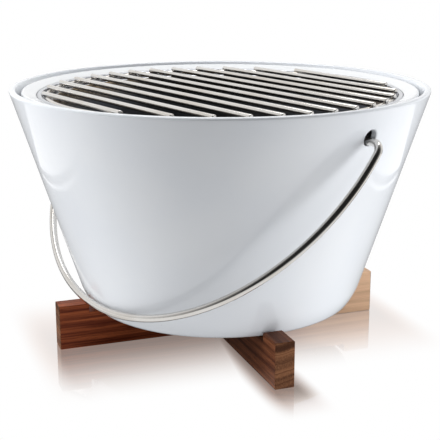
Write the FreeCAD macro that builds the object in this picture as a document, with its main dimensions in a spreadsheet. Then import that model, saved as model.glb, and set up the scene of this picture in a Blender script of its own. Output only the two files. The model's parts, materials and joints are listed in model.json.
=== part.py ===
import FreeCAD, Part
import math
import os
import re
import Sketcher

# A charcoal table grill: a tapered porcelain pot on two crossing wooden bars, a porcelain bowl inside
# it, a steel coal pan hung in the bowl, a fire grate, a cooking grate and a wire bail.
# Millimetres, +Z up. The origin is on the floor, under the pot's axis. +X runs along the bail's pivot.

doc = FreeCAD.newDocument("TableGrill")
sheet = doc.addObject("Spreadsheet::Sheet", "Sizes")

# Driving dimensions: alias, number, what it measures. Lengths are in mm and turns in degrees.
SIZES = [
    # crossing bars
    ("bar_end", 25, "length of each raised end of a bar"),
    ("bar_width", 16, "width of each bar"),
    ("bar_height", 37, "height of each bar at its raised ends"),
    ("seat_play", 3.7, "play between the pot's foot and the raised ends"),
    ("seat_drop", 7, "how far the seat lies below the raised ends"),
    ("bar_arris", 0.7, "rounding of the bars' edges"),
    ("lap_gap", 0.1, "play on each side of the half-lap joint"),
    ("base_turn", -21, "turn of the upper bar from +X"),
    # outer pot
    ("rim_radius", 170.4, "outer radius of the pot at its rim"),
    ("pot_height", 180.5, "height of the pot from its foot to its rim"),
    ("foot_radius", 112.8, "outer radius that the straight wall would reach at the foot"),
    ("pot_wall", 5.5, "thickness of the pot's wall, measured level"),
    ("pot_floor", 7, "thickness of the pot's floor"),
    ("lip_round", 1.8, "rounding of the rim's two edges"),
    ("toe_inset", 4, "how far the foot lies inside the straight wall's end"),
    ("toe_height", 12, "height at which the wall starts to turn in to the foot"),
    ("toe_blend", 55, "radius of the bend between wall and toe"),
    ("toe_round", 9, "radius of the bend between toe and foot"),
    ("inner_round", 10, "radius of the corner between wall and floor inside"),
    ("foot_ring", 14, "width of the ring that the pot stands on"),
    ("foot_relief", 1.5, "hollow inside the foot ring"),
    ("hole_diameter", 12, "handle hole"),
    ("hole_drop", 22, "centre of the handle holes below the rim"),
    ("hole_round", 1.2, "rounding of the handle holes' outer edges"),
    # bail
    ("bail_wire", 6, "diameter of the bail's wire"),
    ("bail_gap", 1.3, "side gap between the upright bail and the rim"),
    ("bail_bend", 9, "radius of the bend beside each hole"),
    ("bail_leg", 3, "straight run between the bend and the bow"),
    ("bail_reach", 6, "how far the wire's ends reach inside the pot's wall"),
    ("curved_gap", 0.3, "gap between curved faces of different moving pieces"),
    # pads and inner bowl
    ("pad_height", 5, "thickness of the pads under the bowl"),
    ("pad_diameter", 18, "diameter of the pads"),
    ("pad_inset", 20, "pads' centres inside the bowl's inner floor edge"),
    ("flange_gap", 4.5, "air gap between the pot's inner edge and the bowl's flange"),
    ("flange_width", 12, "level width of the bowl's flange"),
    ("flange_rise", 3.6, "how much higher the flange's outer edge is than its inner edge"),
    ("flange_thick", 5.5, "thickness of the flange's outer edge"),
    ("flange_drop", 1.5, "flange's outer edge below the pot's rim"),
    ("flange_round", 1.9, "rounding of the flange's edges"),
    ("rebate_depth", 2.2, "depth of the step that the coal pan hangs in"),
    ("rebate_width", 1.8, "width of that step"),
    ("bowl_wall", 5.2, "thickness of the bowl's wall, measured level"),
    ("bowl_floor", 6, "thickness of the bowl's floor"),
    ("bowl_gap", 9.8, "air gap between the pot's wall and the bowl's wall at the bowl's floor"),
    ("bowl_round", 12, "radius of the corner between the bowl's wall and floor"),
    # coal pan
    ("pan_sheet", 1, "thickness of the pan's sheet"),
    ("pan_side_gap", 0.4, "gap between the pan's rolled lip and the flange"),
    ("collar_gap", 0.336, "gap between the foot of the pan's collar and the bowl's wall"),
    ("pan_collar", 2.4, "depth of the collar from the lip down to the ledge"),
    ("pan_ledge", 8.7, "width of the ledge that carries the cooking grate"),
    ("pan_air", 17, "air gap between the bowl's floor and the pan"),
    ("pan_gap", 4.65, "air gap between the bowl's wall and the pan's wall at the pan's floor"),
    ("pan_round", 8, "radius of the corner between the pan's wall and floor"),
    # grates
    ("rod", 4, "diameter of the grates' rods and rings"),
    ("weld_sink", 0.8, "how far a rod is welded into its ring"),
    ("rod_end_round", 0.7, "rounding of the cooking rods' ends"),
    ("rod_end_gap", 1.4, "gap between the cooking rods' ends and the pan's collar"),
    ("ring_inset", 3.7, "cooking ring's wire centre inside the collar"),
    ("cooking_edge", 10.9, "outermost cooking rods inside their ring's wire centre"),
    ("cooking_turn", -5.25, "turn of the cooking rods from +X"),
    ("fire_inset", 12, "fire ring's wire centre inside the edge of the pan's floor"),
    ("fire_overhang", 1.5, "how far the fire grate's rods pass its ring's wire centre"),
    ("fire_edge", 14, "outermost fire rods inside their ring's wire centre"),
    ("fire_leg", 14, "height of the fire grate's ring above the pan's floor"),
    ("fire_turn", 40, "turn of the fire grate's rods from +X"),
]
ALIASES = {alias for alias, _, _ in SIZES}
PAD_COUNT = 4
COOKING_RODS = 13
FIRE_RODS = 9
FIRE_LEGS = 4

for row, (alias, number, note) in enumerate(SIZES, start=1):
    sheet.set(f"A{row}", note)
    sheet.set(f"B{row}", str(number))
    sheet.setAlias(f"B{row}", alias)
doc.recompute()

# Places that several pieces share, as expressions of the sizes.
SEAT = "(bar_height - seat_drop)"
RIM = f"({SEAT} + pot_height)"
SLOPE = "((rim_radius - foot_radius) / pot_height)"
SEAT_HALF = "(foot_radius + seat_play)"
BAR_HALF = f"({SEAT_HALF} + bar_end)"
POT_FLOOR_TOP = f"({SEAT} + pot_floor)"
HOLE_Z = f"({RIM} - hole_drop)"
PIVOT_Z = f"({HOLE_Z} - hole_diameter / 2 + bail_wire / 2 + curved_gap)"
BOW_RADIUS = "(rim_radius + bail_gap + bail_wire / 2)"
BAIL_DEPTH = f"(bail_bend + bail_leg + {BOW_RADIUS})"
BOWL_FOOT_Z = f"({POT_FLOOR_TOP} + pad_height)"
BOWL_FLOOR_Z = f"({BOWL_FOOT_Z} + bowl_floor)"
FLANGE_OUTER = "(rim_radius - pot_wall - flange_gap)"
FLANGE_INNER = f"({FLANGE_OUTER} - flange_width)"
FLANGE_TOP = f"({RIM} - flange_drop)"
FLANGE_EDGE_Z = f"({FLANGE_TOP} - flange_rise)"
REBATE_Z = f"({FLANGE_EDGE_Z} - rebate_depth)"
MOUTH_RADIUS = f"({FLANGE_INNER} - rebate_width)"
BOWL_FLOOR_RADIUS = (f"(foot_radius + {SLOPE} * ({BOWL_FLOOR_Z} - {SEAT})"
                     " - pot_wall - bowl_gap - bowl_wall)")
BOWL_SLOPE = f"(({MOUTH_RADIUS} - {BOWL_FLOOR_RADIUS}) / ({REBATE_Z} - {BOWL_FLOOR_Z}))"
LIP_RADIUS = f"({FLANGE_INNER} - pan_side_gap)"
LEDGE_Z = f"({REBATE_Z} - pan_collar)"
COLLAR_RADIUS = (f"({BOWL_FLOOR_RADIUS} + {BOWL_SLOPE} * ({LEDGE_Z} - pan_sheet - {BOWL_FLOOR_Z})"
                 " - collar_gap - pan_sheet)")
PAN_FLOOR_Z = f"({BOWL_FLOOR_Z} + pan_air + pan_sheet)"
PAN_FLOOR_RADIUS = (f"({BOWL_FLOOR_RADIUS} + {BOWL_SLOPE} * ({PAN_FLOOR_Z} - {BOWL_FLOOR_Z})"
                    " - pan_sheet - pan_gap)")
RING_RADIUS = f"({COLLAR_RADIUS} - ring_inset)"
RING_Z = f"({LEDGE_Z} + curved_gap + rod / 2)"
ROD_REACH = f"({COLLAR_RADIUS} - rod_end_gap)"
COOKING_PITCH = f"(2 * ({RING_RADIUS} - cooking_edge) / {COOKING_RODS - 1})"
FIRE_RING_Z = f"({PAN_FLOOR_Z} + fire_leg + rod / 2)"
FIRE_RING_RADIUS = f"({PAN_FLOOR_RADIUS} - fire_inset)"
FIRE_PITCH = f"(2 * ({FIRE_RING_RADIUS} - fire_edge) / {FIRE_RODS - 1})"

pieces = {}


def cells(text):
    """The expression with each size's name led by the sheet that holds it."""
    return re.sub(r"[a-z]\w*", lambda word: "Sizes." + word[0] if word[0] in ALIASES else word[0], text)


def bind(thing, prop, text):
    """Ties one property of an object to an expression of the sizes."""
    thing.setExpression(prop, cells(text))


def value(text):
    """The number that an expression of the sizes gives now."""
    return float(sheet.evalExpression(text))


def pot_radius(height):
    """Outer radius of the pot's straight wall at a height, as an expression."""
    return f"(foot_radius + {SLOPE} * ({height} - {SEAT}))"


def bowl_radius(height):
    """Inner radius of the bowl's straight wall at a height, as an expression."""
    return f"({BOWL_FLOOR_RADIUS} + {BOWL_SLOPE} * ({height} - {BOWL_FLOOR_Z}))"


def keep(label, thing):
    """Names a finished sub-part after its file and lists it."""
    thing.Label = label
    pieces[label] = thing
    return thing


def new_body(label):
    """An empty body that becomes one sub-part."""
    return keep(label, doc.addObject("PartDesign::Body", label.title().replace("_", "")))


def own_plane(body, role):
    """One of a body's own origin planes."""
    return next(plane for plane in body.Origin.OriginFeatures if plane.Role == role)


def new_sketch(body, name, role):
    """An empty sketch on one of a body's own origin planes."""
    sketch = body.newObject("Sketcher::SketchObject", name)
    sketch.AttachmentSupport = [(own_plane(body, role), "")]
    sketch.MapMode = "FlatFace"
    return sketch


def pin_point(sketch, geometry, end, place):
    """Fixes one end of a curve at a place given as two expressions."""
    for kind, text in zip(("DistanceX", "DistanceY"), place):
        index = sketch.addConstraint(Sketcher.Constraint(kind, -1, 1, geometry, end, value(text)))
        bind(sketch, f"Constraints[{index}]", text)


def flat_point(place):
    """A sketch point from two expressions."""
    return FreeCAD.Vector(value(place[0]), value(place[1]), 0)


def polygon(body, name, role, corners):
    """A closed outline of straight sides through the given corners."""
    sketch = new_sketch(body, name, role)
    for start, stop in zip(corners, corners[1:] + corners[:1]):
        side = sketch.addGeometry(Part.LineSegment(flat_point(start), flat_point(stop)), False)
        pin_point(sketch, side, 1, start)
        if side:
            sketch.addConstraint(Sketcher.Constraint("Coincident", side - 1, 2, side, 1))
    sketch.addConstraint(Sketcher.Constraint("Coincident", len(corners) - 1, 2, 0, 1))
    return sketch


def turned(body, name, corners):
    """A solid of revolution about Z, from a polygon of radius and height."""
    sketch = polygon(body, name + "Outline", "XZ_Plane", corners)
    turn = body.newObject("PartDesign::Revolution", name)
    turn.Profile = sketch
    turn.ReferenceAxis = (sketch, ["V_Axis"])
    turn.Angle = 360
    doc.recompute()
    return turn


def level_circle(radius, height):
    """A test for circles about the Z axis at a radius and height given as expressions."""
    wanted = (value(radius), value(height))

    def matches(edge):
        if not isinstance(edge.Curve, Part.Circle):
            return False
        centre = edge.Curve.Center
        off_axis = math.hypot(centre.x, centre.y)
        return off_axis < 0.01 and math.dist((edge.Curve.Radius, centre.z), wanted) < 0.01

    return matches


def soften(body, name, wanted, radius):
    """Rounds the edges of the body's last feature that pass a test."""
    base = body.Tip
    edges = [f"Edge{number}" for number, edge in enumerate(base.Shape.Edges, start=1) if wanted(edge)]
    if not edges:
        raise RuntimeError(f"{body.Label}: no edge for {name}")
    fillet = body.newObject("PartDesign::Fillet", name)
    fillet.Base = (base, edges)
    bind(fillet, "Radius", radius)
    doc.recompute()
    return fillet


def cut_through(body, name, sketch, length):
    """Cuts a sketch through the body, equally both ways, and makes sure that it took something away."""
    before = body.Shape.Volume
    pocket = body.newObject("PartDesign::Pocket", name)
    pocket.Profile = sketch
    pocket.Midplane = True
    bind(pocket, "Length", length)
    doc.recompute()
    if body.Shape.Volume > before - 1:
        raise RuntimeError(f"{body.Label}: {name} cuts nothing")
    return pocket


def put(thing, x=0.0, y=0.0, z=0.0, turn=0.0, lean=None):
    """Places a sub-part: an optional lean first, then a turn about Z, then the move."""
    rotation = FreeCAD.Rotation(FreeCAD.Vector(0, 0, 1), turn)
    if lean:
        rotation = rotation.multiply(lean)
    thing.Placement = FreeCAD.Placement(FreeCAD.Vector(x, y, z), rotation)


def base_bar(label, turn, notch_low, notch_high):
    """One crossing bar: raised ends, a lowered seat and half of the half-lap joint."""
    body = new_body(label)
    end, step = BAR_HALF, SEAT_HALF
    corners = [
        (f"-{end}", "0"), (end, "0"), (end, "bar_height"), (step, "bar_height"),
        (step, SEAT), (f"-{step}", SEAT), (f"-{step}", "bar_height"), (f"-{end}", "bar_height"),
    ]
    pad = body.newObject("PartDesign::Pad", "Length")
    pad.Profile = polygon(body, "Side", "XZ_Plane", corners)
    pad.Midplane = True
    bind(pad, "Length", "bar_width")
    doc.recompute()
    half_end, half_step, seat = value(end), value(step), value(SEAT)

    def outer_edge(edge):
        """Every edge but those round the two inner corners of the seat."""
        middle = edge.CenterOfMass
        inner_corner = abs(abs(middle.x) - half_step) < 0.01 and abs(middle.z - seat) < 0.01
        return not inner_corner and abs(middle.x) <= half_end + 0.01

    soften(body, "Arris", outer_edge, "bar_arris")
    cheek = "(bar_width / 2 + lap_gap)"
    notch = polygon(body, "Lap", "XZ_Plane", [
        (f"-{cheek}", notch_low), (cheek, notch_low), (cheek, notch_high), (f"-{cheek}", notch_high),
    ])
    cut_through(body, "LapNotch", notch, "bar_width * 2")
    put(body, turn=turn)


def outer_pot():
    """The tapered pot, with its rounded lip, its foot ring and the two handle holes."""
    body = new_body("outer_pot")
    toe, toe_top = "(foot_radius - toe_inset)", f"({SEAT} + toe_height)"
    inside, foot_inside = "(rim_radius - pot_wall)", f"({toe} - toe_round - foot_ring)"
    floor_corner = f"({pot_radius(POT_FLOOR_TOP)} - pot_wall)"
    turned(body, "Wall", [
        ("0", f"{SEAT} + foot_relief"), (foot_inside, f"{SEAT} + foot_relief"), (foot_inside, SEAT),
        (toe, SEAT), (pot_radius(toe_top), toe_top), ("rim_radius", RIM), (inside, RIM),
        (floor_corner, POT_FLOOR_TOP), ("0", POT_FLOOR_TOP),
    ])
    soften(body, "ToeBlend", level_circle(pot_radius(toe_top), toe_top), "toe_blend")
    soften(body, "ToeRound", level_circle(toe, SEAT), "toe_round")
    soften(body, "InnerRound", level_circle(floor_corner, POT_FLOOR_TOP), "inner_round")
    outer_lip, inner_lip = level_circle("rim_radius", RIM), level_circle(inside, RIM)
    soften(body, "Lip", lambda edge: outer_lip(edge) or inner_lip(edge), "lip_round")
    holes = new_sketch(body, "HoleOutline", "YZ_Plane")
    centre = FreeCAD.Vector(0, value(HOLE_Z), 0)
    outline = Part.Circle(centre, FreeCAD.Vector(0, 0, 1), value("hole_diameter / 2"))
    circle = holes.addGeometry(outline, False)
    holes.addConstraint(Sketcher.Constraint("PointOnObject", circle, 3, -2))
    height = holes.addConstraint(Sketcher.Constraint("DistanceY", -1, 1, circle, 3, centre.y))
    bind(holes, f"Constraints[{height}]", HOLE_Z)
    width = holes.addConstraint(Sketcher.Constraint("Diameter", circle, value("hole_diameter")))
    bind(holes, f"Constraints[{width}]", "hole_diameter")
    cut_through(body, "HandleHoles", holes, "rim_radius * 3")
    hole_z, hole_radius = value(HOLE_Z), value("hole_diameter / 2")
    mouth = value(f"{pot_radius(HOLE_Z)} - pot_wall / 2")

    def hole_mouth(edge):
        """The outer edge of either handle hole."""
        box = edge.BoundBox
        level = abs(box.Center.z - hole_z) < 1 and abs(box.YLength / 2 - hole_radius) < 0.1
        return level and min(abs(box.XMin), abs(box.XMax)) > mouth - value(SLOPE) * hole_radius

    soften(body, "HoleMouth", hole_mouth, "hole_round")


def bail():
    """The wire handle: level ends in the holes, a bend, a short leg and a half-round bow."""
    body = new_body("bail")
    path = new_sketch(body, "Path", "XZ_Plane")
    start = f"({pot_radius(PIVOT_Z)} - pot_wall - bail_reach)"
    bend, leg = f"({BOW_RADIUS} - bail_bend)", "(bail_bend + bail_leg)"
    # Each stop is a place and, where the wire arrives there along an arc, the arc's radius.
    stops = [
        ((f"-{start}", "0"), None), ((f"-{bend}", "0"), None),
        ((f"-{BOW_RADIUS}", "-bail_bend"), "bail_bend"), ((f"-{BOW_RADIUS}", f"-{leg}"), None),
        (("0", f"-{BAIL_DEPTH}"), BOW_RADIUS), ((BOW_RADIUS, f"-{leg}"), BOW_RADIUS),
        ((BOW_RADIUS, "-bail_bend"), None), ((bend, "0"), "bail_bend"), ((start, "0"), None),
    ]
    for index in range(1, len(stops)):
        (here, _), (there, radius) = stops[index - 1], stops[index]
        first, last = flat_point(here), flat_point(there)
        curve = quarter_arc(first, last, value(radius)) if radius else Part.LineSegment(first, last)
        run = path.addGeometry(curve, False)
        pin_point(path, run, 2, there)
        if index == 1:
            pin_point(path, run, 1, here)
        else:
            path.addConstraint(Sketcher.Constraint("Coincident", run - 1, 2, run, 1))
        if radius:
            size = path.addConstraint(Sketcher.Constraint("Radius", run, value(radius)))
            bind(path, f"Constraints[{size}]", radius)
    wire = new_sketch(body, "Section", "YZ_Plane")
    bind(wire, "AttachmentOffset.Base.z", f"-{start}")
    circle = Part.Circle(FreeCAD.Vector(), FreeCAD.Vector(0, 0, 1), value("bail_wire / 2"))
    round_bar = wire.addGeometry(circle, False)
    wire.addConstraint(Sketcher.Constraint("Coincident", round_bar, 3, -1, 1))
    width = wire.addConstraint(Sketcher.Constraint("Diameter", round_bar, value("bail_wire")))
    bind(wire, f"Constraints[{width}]", "bail_wire")
    doc.recompute()
    pipe = body.newObject("PartDesign::AdditivePipe", "Wire")
    pipe.Profile = wire
    pipe.Spine = (path, [f"Edge{number}" for number in range(1, len(stops))])
    doc.recompute()
    put(body, z=value(PIVOT_Z), lean=FreeCAD.Rotation(FreeCAD.Vector(1, 0, 0), -rest_lean()))


def quarter_arc(first, last, radius):
    """The quarter circle from one point to the next that turns anticlockwise."""
    chord = last - first
    side = FreeCAD.Vector(-chord.y, chord.x, 0).normalize()
    centre = first + chord * 0.5 + side * math.sqrt(max(radius ** 2 - (chord.Length / 2) ** 2, 0))
    circle = Part.Circle(centre, FreeCAD.Vector(0, 0, 1), radius)
    angles = [math.atan2(point.y - centre.y, point.x - centre.x) for point in (first, last)]
    return Part.ArcOfCircle(circle, angles[0], angles[1])


def rest_lean():
    """Degrees from hanging straight down at which the bow rests, on the pot's wall or on the bars."""
    slope, depth = value(SLOPE), value(BAIL_DEPTH)
    reach = value(f"{pot_radius(PIVOT_Z)}") + value("curved_gap + bail_wire / 2") * math.hypot(1, slope)
    on_wall = math.asin(reach / (depth * math.hypot(1, slope))) - math.atan(slope)
    above_bars = value(f"{PIVOT_Z} - bar_height - bail_wire / 2 - curved_gap")
    on_bars = math.acos(min(1.0, above_bars / depth))
    return math.degrees(max(on_wall, on_bars))


def bowl_pads():
    """Round pads between the pot's floor and the bowl's foot."""
    for number in range(PAD_COUNT):
        pad = keep(f"bowl_pad_{number + 1}", doc.addObject("Part::Cylinder", "Pad"))
        bind(pad, "Radius", "pad_diameter / 2")
        bind(pad, "Height", "pad_height")
        angle = 2 * math.pi * (number + 0.5) / PAD_COUNT
        circle = value(f"{BOWL_FLOOR_RADIUS} - pad_inset")
        put(pad, circle * math.cos(angle), circle * math.sin(angle), value(POT_FLOOR_TOP))


def inner_bowl():
    """The porcelain bowl: a sloping flange, a step for the coal pan and a tapered wall."""
    body = new_body("inner_bowl")
    under = f"({REBATE_Z} - 2)"
    turned(body, "Bowl", [
        ("0", BOWL_FOOT_Z), (f"{bowl_radius(BOWL_FOOT_Z)} + bowl_wall", BOWL_FOOT_Z),
        (f"{bowl_radius(under)} + bowl_wall", under),
        (FLANGE_OUTER, f"{FLANGE_TOP} - flange_thick"), (FLANGE_OUTER, FLANGE_TOP),
        (FLANGE_INNER, FLANGE_EDGE_Z), (FLANGE_INNER, REBATE_Z), (MOUTH_RADIUS, REBATE_Z),
        (BOWL_FLOOR_RADIUS, BOWL_FLOOR_Z), ("0", BOWL_FLOOR_Z),
    ])
    top = level_circle(FLANGE_OUTER, FLANGE_TOP)
    bottom = level_circle(FLANGE_OUTER, f"{FLANGE_TOP} - flange_thick")
    soften(body, "FlangeRound", lambda edge: top(edge) or bottom(edge), "flange_round")
    soften(body, "FlangeEdge", level_circle(FLANGE_INNER, FLANGE_EDGE_Z), "flange_round / 2")
    soften(body, "FloorRound", level_circle(BOWL_FLOOR_RADIUS, BOWL_FLOOR_Z), "bowl_round")
    foot = level_circle(f"{bowl_radius(BOWL_FOOT_Z)} + bowl_wall", BOWL_FOOT_Z)
    soften(body, "FootRound", foot, "bowl_round")


def coal_pan():
    """The pressed steel pan: rolled lip, short collar, ledge for the cooking grate and tapered wall."""
    body = new_body("coal_pan")
    ledge = f"({COLLAR_RADIUS} - pan_ledge)"
    lip_top = f"({REBATE_Z} + rebate_depth)"
    foot_z = f"{PAN_FLOOR_Z} - pan_sheet"
    turned(body, "Pan", [
        ("0", foot_z), (f"{PAN_FLOOR_RADIUS} + pan_sheet", foot_z),
        (f"{ledge} + pan_sheet", f"{LEDGE_Z} - pan_sheet"),
        (f"{COLLAR_RADIUS} + pan_sheet", f"{LEDGE_Z} - pan_sheet"),
        (f"{COLLAR_RADIUS} + pan_sheet", REBATE_Z), (LIP_RADIUS, REBATE_Z), (LIP_RADIUS, lip_top),
        (COLLAR_RADIUS, lip_top), (COLLAR_RADIUS, LEDGE_Z), (ledge, LEDGE_Z),
        (PAN_FLOOR_RADIUS, PAN_FLOOR_Z), ("0", PAN_FLOOR_Z),
    ])
    outer, inner = level_circle(LIP_RADIUS, lip_top), level_circle(COLLAR_RADIUS, lip_top)
    soften(body, "LipRound", lambda edge: outer(edge) or inner(edge), "rebate_depth * 0.45")
    soften(body, "FloorRound", level_circle(PAN_FLOOR_RADIUS, PAN_FLOOR_Z), "pan_round")
    outside = level_circle(f"{PAN_FLOOR_RADIUS} + pan_sheet", foot_z)
    soften(body, "FootRound", outside, "pan_round + pan_sheet")


def rod_row(stem, count, pitch, reach, height, turn, rounded):
    """Parallel level rods whose ends lie on a circle. Gives them from one side to the other."""
    rods = []
    for number in range(count):
        offset = value(f"{pitch} * {number - (count - 1) / 2}")
        half = f"sqrt({reach}^2 - ({offset})^2)"
        rod = doc.addObject("Part::Cylinder", "Rod")
        bind(rod, "Radius", "rod / 2")
        bind(rod, "Height", f"2 * {half}")
        lean = FreeCAD.Rotation(FreeCAD.Vector(0, 1, 0), 90)
        angle = math.radians(turn)
        along = -value(half)
        x = along * math.cos(angle) - offset * math.sin(angle)
        y = along * math.sin(angle) + offset * math.cos(angle)
        put(rod, x, y, value(height), turn, lean)
        if rounded:
            blank, rod = rod, doc.addObject("Part::Fillet", "RoundedRod")
            rod.Base = blank
            doc.recompute()
            ends = [index for index, edge in enumerate(blank.Shape.Edges, start=1)
                    if isinstance(edge.Curve, Part.Circle)]
            rod.Edges = [(index, value("rod_end_round"), value("rod_end_round")) for index in ends]
        rods.append(keep(f"{stem}_{number + 1}", rod))
    doc.recompute()
    return rods


def welded_ring(label, radius, height, rods):
    """A wire ring with a shallow seat for each rod that is welded on it."""
    ring = doc.addObject("Part::Torus", "RingWire")
    bind(ring, "Radius1", radius)
    bind(ring, "Radius2", "rod / 2")
    put(ring, z=value(height))
    row = doc.addObject("Part::Compound", "RodRow")
    row.Links = rods
    seated = keep(label, doc.addObject("Part::Cut", "SeatedRing"))
    seated.Base = ring
    seated.Tool = row
    doc.recompute()
    return ring


def fire_grate():
    """The grate under the coals: ring, rods on it and legs under it."""
    rod_z = f"({FIRE_RING_Z} + rod - weld_sink)"
    reach = f"({FIRE_RING_RADIUS} + fire_overhang)"
    rods = rod_row("fire_rod", FIRE_RODS, FIRE_PITCH, reach, rod_z, value("fire_turn"), False)
    ring = welded_ring("fire_ring", FIRE_RING_RADIUS, FIRE_RING_Z, rods)
    for number in range(FIRE_LEGS):
        post = doc.addObject("Part::Cylinder", "LegBlank")
        bind(post, "Radius", "rod / 2")
        bind(post, "Height", "fire_leg + weld_sink")
        angle = 2 * math.pi * (number + 0.5) / FIRE_LEGS
        circle = value(FIRE_RING_RADIUS)
        put(post, circle * math.cos(angle), circle * math.sin(angle), value(PAN_FLOOR_Z))
        leg = keep(f"fire_leg_{number + 1}", doc.addObject("Part::Cut", "Leg"))
        leg.Base = post
        leg.Tool = ring
    doc.recompute()


def cooking_grate():
    """The grate that carries the food: a ring on the pan's ledge with parallel rods on it."""
    rod_z = f"({RING_Z} + rod - weld_sink)"
    turn = value("cooking_turn")
    rods = rod_row("cooking_rod", COOKING_RODS, COOKING_PITCH, ROD_REACH, rod_z, turn, True)
    welded_ring("cooking_ring", RING_RADIUS, RING_Z, rods)


def check_and_write():
    """Stops on any failed object, then writes each sub-part to its own file."""
    doc.recompute()
    for thing in doc.Objects:
        if "Invalid" in thing.State or "Error" in thing.State:
            raise RuntimeError(f"{thing.Label} failed: {thing.State}")
    os.makedirs("parts", exist_ok=True)
    for label, thing in pieces.items():
        shape = thing.Shape
        if shape.isNull() or not shape.isValid() or not shape.Solids:
            raise RuntimeError(f"{label} has no valid solid")
        shape.exportStep(f"parts/{label}.step")
    print(f"{len(pieces)} sub-parts, bail leans {rest_lean():.2f} degrees, pivot at {value(PIVOT_Z):.2f} mm")


base_bar("base_bar_lower", value("base_turn") + 90, f"{SEAT} / 2", f"{SEAT} + 1")
base_bar("base_bar_upper", value("base_turn"), "-1", f"{SEAT} / 2")
outer_pot()
bail()
bowl_pads()
inner_bowl()
coal_pan()
fire_grate()
cooking_grate()
check_and_write()
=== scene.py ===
"""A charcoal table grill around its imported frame: porcelain pot and bowl, steel pan, grates and bail."""
import sys
import json
import logging
import math
from dataclasses import dataclass
from enum import Enum

import bmesh
import bpy
import numpy as np
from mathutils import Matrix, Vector


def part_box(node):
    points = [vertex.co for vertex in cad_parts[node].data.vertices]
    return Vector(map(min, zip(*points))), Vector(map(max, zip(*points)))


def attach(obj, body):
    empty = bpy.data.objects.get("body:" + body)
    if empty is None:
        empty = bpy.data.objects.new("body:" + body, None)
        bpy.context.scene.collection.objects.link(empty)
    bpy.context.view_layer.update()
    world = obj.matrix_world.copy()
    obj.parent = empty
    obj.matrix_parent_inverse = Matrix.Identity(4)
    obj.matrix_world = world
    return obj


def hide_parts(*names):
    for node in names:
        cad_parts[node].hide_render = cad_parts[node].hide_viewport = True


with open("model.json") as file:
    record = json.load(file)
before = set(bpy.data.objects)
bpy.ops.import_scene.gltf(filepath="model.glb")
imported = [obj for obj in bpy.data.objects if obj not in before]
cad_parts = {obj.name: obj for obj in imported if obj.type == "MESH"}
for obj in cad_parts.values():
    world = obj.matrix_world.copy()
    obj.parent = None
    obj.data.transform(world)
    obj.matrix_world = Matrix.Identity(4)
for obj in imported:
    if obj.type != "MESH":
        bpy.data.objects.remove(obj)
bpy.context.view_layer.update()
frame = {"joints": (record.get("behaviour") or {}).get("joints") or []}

log = logging.getLogger("table_grill")

MM = 0.001
BASE_TURN = math.radians(-21.0)
FULL_TURN = 2.0 * math.pi
JOINTS = {joint["name"]: joint for joint in frame["joints"]}
Colour = tuple[float, float, float]
Socket = bpy.types.NodeSocket
Thing = bpy.types.Object


class Body(Enum):
    """The moving bodies that pieces ride on."""

    BASE = "base"
    POT = "pot"
    HANDLE = "handle"
    BOWL = "bowl"
    PAN = "pan"
    FIRE_GRATE = "fire_grate"
    COOKING_GRATE = "cooking_grate"


class Grain(Enum):
    """How the drawing or spinning lines of a metal piece run."""

    STRAIGHT = "along a turned rod"
    ROUND = "round the upright axis"
    BOWED = "round the centre of the leaning bow"


# ------------------------------------------------------------------ shapes


def rounded(corners: np.ndarray, radii: np.ndarray, steps: int = 8) -> np.ndarray:
    """An open outline with its corners rounded.

    Each corner becomes the arc that touches both of its sides: with h for half the corner's inner angle, the
    arc starts radius / tan h from the corner, and its centre lies radius / sin h away on the bisector.

    Args:
        corners: Points (n, 2).
        radii: One radius per corner. The two ends' radii are not used.
        steps: Segments in each arc.

    Returns:
        Points (m, 2).
    """
    parts = [corners[:1]]
    for before, corner, after, radius in zip(corners, corners[1:], corners[2:], radii[1:]):
        if radius <= 0.0:
            parts.append(corner[None])
            continue
        back = (before - corner) / np.linalg.norm(before - corner)
        ahead = (after - corner) / np.linalg.norm(after - corner)
        half = 0.5 * math.acos(float(np.clip(back @ ahead, -1.0, 1.0)))
        middle = (back + ahead) / np.linalg.norm(back + ahead)
        centre = corner + middle * radius / math.sin(half)
        start = corner + back * radius / math.tan(half) - centre
        stop = corner + ahead * radius / math.tan(half) - centre
        turn = math.atan2(start[0] * stop[1] - start[1] * stop[0], float(start @ stop))
        angle = np.linspace(0.0, turn, steps + 1)[:, None]
        parts.append(centre + start * np.cos(angle) + np.array([-start[1], start[0]]) * np.sin(angle))
    parts.append(corners[-1:])
    return np.concatenate(parts)


def evened(outline: np.ndarray, longest: float) -> np.ndarray:
    """The outline with extra points where two neighbours are further apart than the longest step allowed."""
    lengths = np.linalg.norm(np.diff(outline, axis=0), axis=1)
    counts = np.maximum(np.ceil(lengths / longest).astype(int), 1)
    at = np.concatenate([[0.0], np.cumsum(lengths)])
    inside = [np.linspace(a, b, n, endpoint=False) for a, b, n in zip(at, at[1:], counts)]
    wanted = np.concatenate([*inside, at[-1:]])
    return np.stack([np.interp(wanted, at, outline[:, axis]) for axis in (0, 1)], axis=1)


def turned_points(outline: np.ndarray, columns: int) -> np.ndarray:
    """The outline turned about Z: (radius cos a, radius sin a, height).

    Args:
        outline: Points (n, 2) of radius and height.
        columns: Steps round the axis.

    Returns:
        Points (n, columns, 3).
    """
    angle = np.arange(columns) * FULL_TURN / columns
    height = np.broadcast_to(outline[:, 1:], (len(outline), columns))
    return np.stack([outline[:, :1] * np.cos(angle), outline[:, :1] * np.sin(angle), height], axis=-1)


def quads(rows: int, columns: int) -> np.ndarray:
    """The faces of a grid of points whose last column joins its first.

    Args:
        rows: Rows of points.
        columns: Columns of points.

    Returns:
        Point numbers (rows - 1, columns, 4).
    """
    row, column = np.arange(rows - 1)[:, None], np.arange(columns)[None, :]
    beside = (column + 1) % columns
    corners = (row * columns + column, row * columns + beside,
               (row + 1) * columns + beside, (row + 1) * columns + column)
    return np.stack(np.broadcast_arrays(*corners), axis=-1)


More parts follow.
